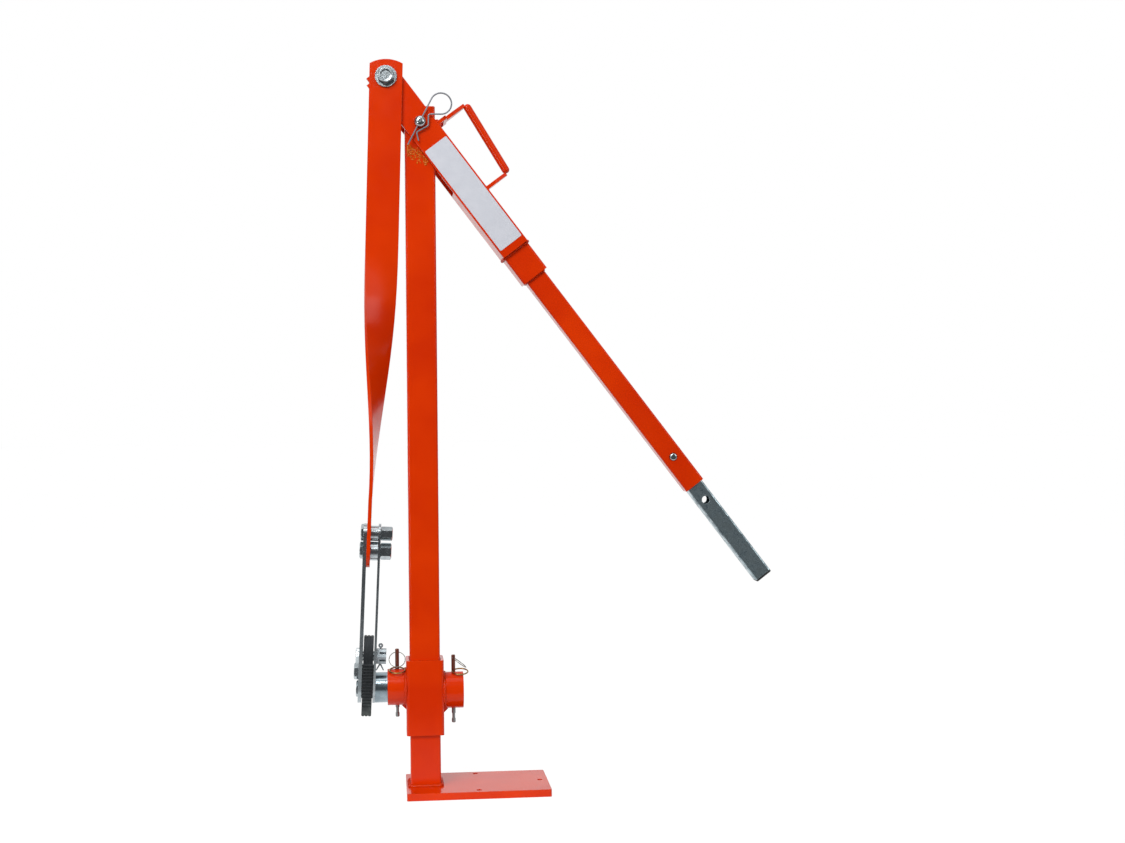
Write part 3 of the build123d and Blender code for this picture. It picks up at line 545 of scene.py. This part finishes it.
def handle_weld():
    """Runs on both faces of each handle leg: on the cheeks in front, across the top web behind."""
    head_top = span("lever_head", LEVER_UP)[1]
    handle_start, handle_end = span("carry_handle", LEVER)
    foot_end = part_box("carry_handle")[1].y
    foot_inside = foot_end - CHEEK_BEAD_LENGTH
    run = bmesh.new()
    for leg, stretches in (
        (handle_start + HANDLE_BAR / 2, ((-foot_end, -foot_inside), (foot_inside, foot_end))),
        (handle_end - HANDLE_BAR / 2, ((-HANDLE_LEG_HALF, HANDLE_LEG_HALF),)),
    ):
        for side in (-1, 1):
            face = leg + side * (HANDLE_BAR / 2 + HANDLE_OFF)
            toe = LEVER * face + LEVER_UP * (head_top + HANDLE_OFF)
            for start, end in stretches:
                weld_run(run, [toe + DEPTH * start, toe + DEPTH * end], HANDLE_BEAD, seed=11)
    add_piece("handle_weld_run", run, "weld", "lever", ["handle_weld_beads"])


CAP_BEAD = 1.6 * MM
CAP_SUNK = 0.2 * CAP_BEAD
CAP_CORNER = 3 * MM


def cap_weld():
    """Run along the column's top edge."""
    level = Vector((0, 0, column_high.z - CAP_SUNK))
    path = square_path(level, ACROSS, DEPTH, half_column - CAP_BEAD, CAP_CORNER)
    run = bmesh.new()
    weld_run(run, path, CAP_BEAD, seed=19, closed=True)
    add_piece("cap_weld_run", run, "weld", "column")


SOCKET_BEAD = 3.2 * MM
SOCKET_OFF = 0.3 * SOCKET_BEAD
SOCKET_SUNK = 0.4 * SOCKET_BEAD


def socket_weld():
    """Run round the root of each socket."""
    collar_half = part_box("collar_tube")[1].x
    turns = [2 * math.pi * i / CIRCLE_POINTS for i in range(CIRCLE_POINTS + 1)]
    spokes = [DEPTH * math.cos(turn) + UP * math.sin(turn) for turn in turns]
    run = bmesh.new()
    for node, side, seed in (("left_socket", -1, 23), ("right_socket", 1, 29)):
        low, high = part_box(node)
        centre = Vector((side * (collar_half + SOCKET_OFF), 0, (low.z + high.z) / 2))
        radius = (high.z - low.z) / 2 - SOCKET_SUNK
        circle = [centre + radius * spoke for spoke in spokes]
        weld_run(run, circle, SOCKET_BEAD, seed, closed=True)
    add_piece("socket_weld_run", run, "weld", "collar")


# Spatter's patch on the column, from the column's middle and from the pin's height
SPATTER_COUNT = 260
SPATTER_LEFT = -21 * MM
SPATTER_TOP = -34 * MM
SPATTER_WIDTH = 34 * MM
SPATTER_HEIGHT = 40 * MM
SPATTER_SMALL = 0.4 * MM
SPATTER_LARGE = 1.5 * MM
# Flat enough for the lever's cheek to pass over it
SPATTER_FLATNESS = 0.26
SPATTER_STRETCH = (0.6, 1.4)
# Shares of the patch's height that it slants and that it spreads over
SPATTER_SLANT = 0.35
SPATTER_SPREAD = 0.65
# How the drops crowd: towards the patch's left, and towards the middle of its height
SPATTER_CROWD = 1.3
SPATTER_LEVELS = (1.6, 1.8)


def weld_spatter():
    """Drops of weld that cling to the column under the lever, in a patch that slants down."""
    pin_level = middle("pivot_pin").z
    chance = random.Random(41)
    drops = bmesh.new()
    for _ in range(SPATTER_COUNT):
        across = chance.random() ** SPATTER_CROWD
        down = chance.betavariate(*SPATTER_LEVELS)
        x = SPATTER_LEFT + across * SPATTER_WIDTH
        fall = SPATTER_SLANT * across + SPATTER_SPREAD * down
        z = pin_level + SPATTER_TOP - fall * SPATTER_HEIGHT
        radius = chance.uniform(SPATTER_SMALL, SPATTER_LARGE)
        shape = Matrix.Diagonal((1, SPATTER_FLATNESS, chance.uniform(*SPATTER_STRETCH), 1))
        place = Matrix.Translation((x, column_low.y, z)) @ shape
        bmesh.ops.create_icosphere(drops, subdivisions=2, radius=radius, matrix=place)
    for face in drops.faces:
        face.smooth = True
    # The drops take the golden finish, a painted highlight of their glints
    add_piece("weld_spatter", drops, "weld", "column", finish="spatter_glint")


foot_weld()
lever_weld("coupler_weld_run", "coupler_weld_bead", "coupler_tube", seed=5)
lever_weld("arm_weld_run", "arm_weld_bead", "extension_tube", seed=7)
handle_weld()
cap_weld()
socket_weld()
weld_spatter()

# ---------------------------------------------------------------- bolts and nuts
FLAT_POINTS = 10
HEX_CORNERS = 6
HEX_FLATS = 24 * MM
TIE_NUT_FLATS = 20 * MM
NUT_CHAMFER = 0.5 * MM
# Shares of half the flats, of the crown's radius, and of the crown's radius again
CROWN = 0.96
DISH_RIM = 0.8
DISH_FLOOR = 0.62
DISH_DEPTH = 0.8 * MM
CORNER_SLOPE = math.tan(math.radians(30))
SHANK_POINTS = 32
THREAD_PITCH = 1.75 * MM
# Shares of the pitch
THREAD_DEPTH = 0.55
TIP_DEPTH = 0.7


def hexagon_radii(flats):
    """Radii of a hexagon's outline, with a flat's middle first."""
    radii = []
    for i in range(HEX_CORNERS * FLAT_POINTS):
        turn = 2 * math.pi * i / (HEX_CORNERS * FLAT_POINTS)
        from_flat = (turn + math.pi / 6) % (math.pi / 3) - math.pi / 6
        radii.append(flats / 2 / math.cos(from_flat))
    return radii


def hexagon_prism(mesh_data, base, axis, side, flats, height, bore=0.0):
    """Bolt head with a dished crown, or nut with a bore, its corners turned off at 30 degrees."""
    up = axis.cross(side)
    radii = hexagon_radii(flats)
    crown = flats / 2 * CROWN
    count = len(radii)
    crest = base + axis * height

    def outline(level_of):
        """Hexagon whose points stand at a height that depends on their radius."""
        points = []
        for i, radius in enumerate(radii):
            turn = 2 * math.pi * i / count
            level = base + axis * level_of(radius)
            place = level + side * radius * math.cos(turn) + up * radius * math.sin(turn)
            points.append(mesh_data.verts.new(place))
        return points

    turned = outline(lambda radius: height - (radius - crown) * CORNER_SLOPE)
    start = outline(lambda radius: (radius - crown) * CORNER_SLOPE if bore else 0.0)
    top = ring(mesh_data, crest, side, up, [crown] * count)
    bottom = ring(mesh_data, base, side, up, [crown] * count)
    bridge(mesh_data, bottom, start, smooth=False)
    bridge(mesh_data, start, turned, smooth=False)
    bridge(mesh_data, turned, top, smooth=False)
    if bore:
        mouth = ring(mesh_data, crest, side, up, [bore + NUT_CHAMFER] * count)
        chamfer = base + axis * (height - NUT_CHAMFER)
        throat = ring(mesh_data, chamfer, side, up, [bore] * count)
        bridge(mesh_data, top, mouth, smooth=False)
        bridge(mesh_data, mouth, throat, smooth=False)
        far_mouth = ring(mesh_data, base, side, up, [bore] * count)
        bridge(mesh_data, throat, far_mouth)
        bridge(mesh_data, far_mouth, bottom, smooth=False)
    else:
        rim = ring(mesh_data, crest, side, up, [crown * DISH_RIM] * count)
        dish = base + axis * (height - DISH_DEPTH)
        floor = ring(mesh_data, dish, side, up, [crown * DISH_FLOOR] * count)
        bridge(mesh_data, top, rim, smooth=False)
        bridge(mesh_data, rim, floor)
        mesh_data.faces.new(floor)
        mesh_data.faces.new(bottom[::-1])


def threaded_shank(mesh_data, start, axis, side, radius, length, thread_length):
    """Round shank whose far end carries a thread and a turned tip."""
    up = axis.cross(side)
    plain = length - thread_length
    levels = [(0.0, radius), (plain, radius)]
    turns = max(1, round((thread_length - THREAD_PITCH) / THREAD_PITCH))
    for i in range(2 * turns):
        depth = 0.0 if i % 2 else THREAD_DEPTH * THREAD_PITCH
        levels.append((plain + THREAD_PITCH / 2 * (i + 1), radius - depth))
    levels.append((length, radius - TIP_DEPTH * THREAD_PITCH))
    rings = []
    for along, ring_radius in levels:
        rings.append(ring(mesh_data, start + axis * along, side, up, [ring_radius] * SHANK_POINTS))
    for a, b in zip(rings, rings[1:]):
        bridge(mesh_data, a, b)
    close_ends(mesh_data, rings)


def centre_line(node, axis):
    """Point of a node's box centre, moved to where the distance along an axis is 0."""
    place = middle(node)
    return place - axis * place.dot(axis)


# Bolts through the gripping head lie along the jaw's axle.
HEAD_LEFT = Vector(next(joint["axis"] for joint in frame["joints"] if joint["name"] == "jaw_hinge"))
# Each bolt has its shank's radius and its thread's length.
HEAD_BOLTS = (
    ("upper_block_bolt", 6 * MM, 4 * MM),
    ("lower_block_bolt", 6 * MM, 4 * MM),
    ("tie_bolt", 7 * MM, 18 * MM),
    ("link_foot_bolt", 8 * MM, 18 * MM),
)
# Each nut has its flats and its bore's radius.
HEAD_NUTS = (("tie_nut", TIE_NUT_FLATS, 7 * MM), ("link_foot_nut", HEX_FLATS, 8 * MM))


def turned_bolt(node, axis, side, seat, radius, thread_length):
    """Bolt in place of a node, whose head stands on a seat and points along an axis."""
    low, high = span(node, axis)
    base = centre_line(node, axis) + axis * seat
    bolt = bmesh.new()
    hexagon_prism(bolt, base, axis, side, HEX_FLATS, high - seat)
    threaded_shank(bolt, base, -axis, side, radius, seat - low, thread_length)
    add_piece(f"{node}_turned", bolt, "zinc", "gripping_head", [node])


def turned_nut(node, flats, bore):
    """Nut in place of a node of the gripping head."""
    low, high = span(node, HEAD_LEFT)
    nut = bmesh.new()
    base = centre_line(node, HEAD_LEFT) + HEAD_LEFT * high
    hexagon_prism(nut, base, -HEAD_LEFT, DEPTH, flats, high - low, bore)
    add_piece(f"{node}_turned", nut, "zinc", "gripping_head", [node])


under_head = span("left_side_plate", HEAD_LEFT)[1]
for node, radius, thread_length in HEAD_BOLTS:
    turned_bolt(node, HEAD_LEFT, DEPTH, under_head, radius, thread_length)
for node, flats, bore in HEAD_NUTS:
    turned_nut(node, flats, bore)
# The link's top bolt has its head on the washer in front.
turned_bolt(
    "link_top_bolt", -DEPTH, ACROSS, seat=span("link_washer", -DEPTH)[1],
    radius=8 * MM, thread_length=18 * MM
)

# ---------------------------------------------------------------- stage, camera and light
BACKDROP = (1.0, 1.0, 1.0, 1.0)
# World's strength on the camera's side and behind the object, and the Y of the directions
# between which it turns from one to the other
WORLD_NEAR = 0.11
WORLD_FAR = 0.6
WORLD_TURN = (-0.1, 0.5)
# Floor: white under and behind the object, and dark towards the camera; it turns between two depths
FLOOR_SIZE = 60.0
SHEET_FRONT = (-0.7, -0.15)
FLOOR_SHEET = (238, 238, 238)
FLOOR_NEAR = (80, 80, 82)
FLOOR_ROUGH = 0.7
FLOOR_SPECULAR = 0.1
# Share of the white floor's look that glows, where the rest is lit and shadowed, and how bright
# the glow is
FLOOR_GLOW = 0.72
FLOOR_WHITE = 1.22
# Points that the softboxes face
MIDDLE = (0.1, 0.0, 0.6)
UPPER = (0.0, 0.0, 1.0)
LOWER = (0.0, 0.0, 0.2)


def white_stage():
    """Pale floor that is seen white and keeps the object's shadow."""
    floor_mesh = bmesh.new()
    bmesh.ops.create_grid(floor_mesh, x_segments=2, y_segments=2, size=FLOOR_SIZE / 2)
    mesh = bpy.data.meshes.new("floor")
    floor_mesh.to_mesh(mesh)
    floor_mesh.free()
    floor = bpy.data.objects.new("floor", mesh)
    bpy.context.scene.collection.objects.link(floor)
    finish = Finish("floor")
    depth = finish.add("ShaderNodeSeparateXYZ", Vector=finish.place).outputs["Y"]
    sheet = finish.ramp(depth, *SHEET_FRONT)
    colour = finish.mix(sheet, linear(FLOOR_NEAR), linear(FLOOR_SHEET))
    finish.set(Base_Color=colour, Roughness=FLOOR_ROUGH, Specular_IOR_Level=FLOOR_SPECULAR)
    rays = finish.add("ShaderNodeLightPath")
    glossy, through = rays.outputs["Is Glossy Ray"], rays.outputs["Is Transmission Ray"]
    mirrored = finish.math("MULTIPLY", finish.math("MAXIMUM", glossy, through), sheet)
    seen = finish.math("MAXIMUM", rays.outputs["Is Camera Ray"], mirrored)
    share = finish.between(sheet, 0.0, 1.0, 1.0, FLOOR_GLOW)
    white = finish.between(sheet, 0.0, 1.0, 1.0, FLOOR_WHITE)
    glow = finish.add("ShaderNodeEmission", Color=BACKDROP, Strength=white)
    both = finish.add("ShaderNodeMixShader", Fac=finish.math("MULTIPLY", seen, share))
    finish.feed(both.inputs[1], finish.shader.outputs[0])
    finish.feed(both.inputs[2], glow.outputs[0])
    finish.feed(finish.tree.nodes["Material Output"].inputs["Surface"], both.outputs[0])
    mesh.materials.append(finish.material)


def white_world():
    """World that is seen white, with a bright far side and a dim near side as in a studio."""
    world = bpy.data.worlds.new("studio")
    world.use_nodes = True
    bpy.context.scene.world = world
    sky = Nodes(world.node_tree)
    direction = sky.add("ShaderNodeTexCoord").outputs["Generated"]
    depth = sky.add("ShaderNodeSeparateXYZ", Vector=direction).outputs["Y"]
    rays = sky.add("ShaderNodeLightPath")
    lit = sky.between(depth, *WORLD_TURN, WORLD_NEAR, WORLD_FAR)
    mirrored = sky.between(depth, *WORLD_TURN, WORLD_NEAR, 1.0)
    strength = sky.blend(rays.outputs["Is Glossy Ray"], lit, mirrored)
    strength = sky.blend(rays.outputs["Is Transmission Ray"], strength, mirrored)
    strength = sky.blend(rays.outputs["Is Camera Ray"], strength, 1.0)
    background = world.node_tree.nodes["Background"]
    sky.feed(background.inputs["Color"], BACKDROP)
    sky.feed(background.inputs["Strength"], strength)


def sun_light(name, direction, strength, softness):
    """Even light from a direction, with soft shadows."""
    data = bpy.data.lights.new(name, "SUN")
    data.energy = strength
    data.angle = math.radians(softness)
    lamp = bpy.data.objects.new(name, data)
    lamp.rotation_euler = Vector(direction).to_track_quat("-Z", "Y").to_euler()
    bpy.context.scene.collection.objects.link(lamp)


def area_light(name, place, target, size, power):
    """Square soft light that faces a point."""
    data = bpy.data.lights.new(name, "AREA")
    data.shape = "SQUARE"
    data.size = size
    data.energy = power
    lamp = bpy.data.objects.new(name, data)
    lamp.location = place
    lamp.rotation_euler = (Vector(target) - Vector(place)).to_track_quat("-Z", "Y").to_euler()
    bpy.context.scene.collection.objects.link(lamp)


def photograph_camera():
    """Camera with the place, turn and lens of the photograph."""
    data = bpy.data.cameras.new("camera")
    data.sensor_fit = "HORIZONTAL"
    data.sensor_width = SENSOR_WIDTH
    data.lens = LENS
    data.clip_end = CAMERA_REACH
    camera = bpy.data.objects.new("camera", data)
    forward = Vector((math.sin(CAMERA_YAW), math.cos(CAMERA_YAW), 0))
    right = Vector((math.cos(CAMERA_YAW), -math.sin(CAMERA_YAW), 0))
    ahead = math.cos(CAMERA_PITCH) * forward + math.sin(CAMERA_PITCH) * UP
    level_up = right.cross(ahead)
    tilted_right = math.cos(CAMERA_ROLL) * right + math.sin(CAMERA_ROLL) * level_up
    tilted_up = math.cos(CAMERA_ROLL) * level_up - math.sin(CAMERA_ROLL) * right
    turn = Matrix((tilted_right, tilted_up, -ahead)).transposed().to_4x4()
    camera.matrix_world = Matrix.Translation(CAMERA_PLACE) @ turn
    bpy.context.scene.collection.objects.link(camera)
    bpy.context.scene.camera = camera


white_stage()
white_world()
sun_light("key_sun", (0.45, 0.75, -0.6), strength=0.76, softness=25)
sun_light("fill_sun", (-0.6, 0.7, -0.35), strength=0.38, softness=40)
area_light("left_softbox", (-2.0, -2.4, 1.7), MIDDLE, size=1.2, power=11)
area_light("right_softbox", (2.4, -1.8, 1.5), MIDDLE, size=1.2, power=10)
area_light("top_softbox", (0.2, -0.6, 3.0), MIDDLE, size=1.6, power=12)
area_light("high_softbox", (-0.5, -1.7, 2.0), UPPER, size=0.8, power=16)
area_light("low_softbox", (-1.3, -1.6, 0.4), LOWER, size=0.5, power=5)
photograph_camera()
bpy.context.scene.view_settings.view_transform = "Standard"
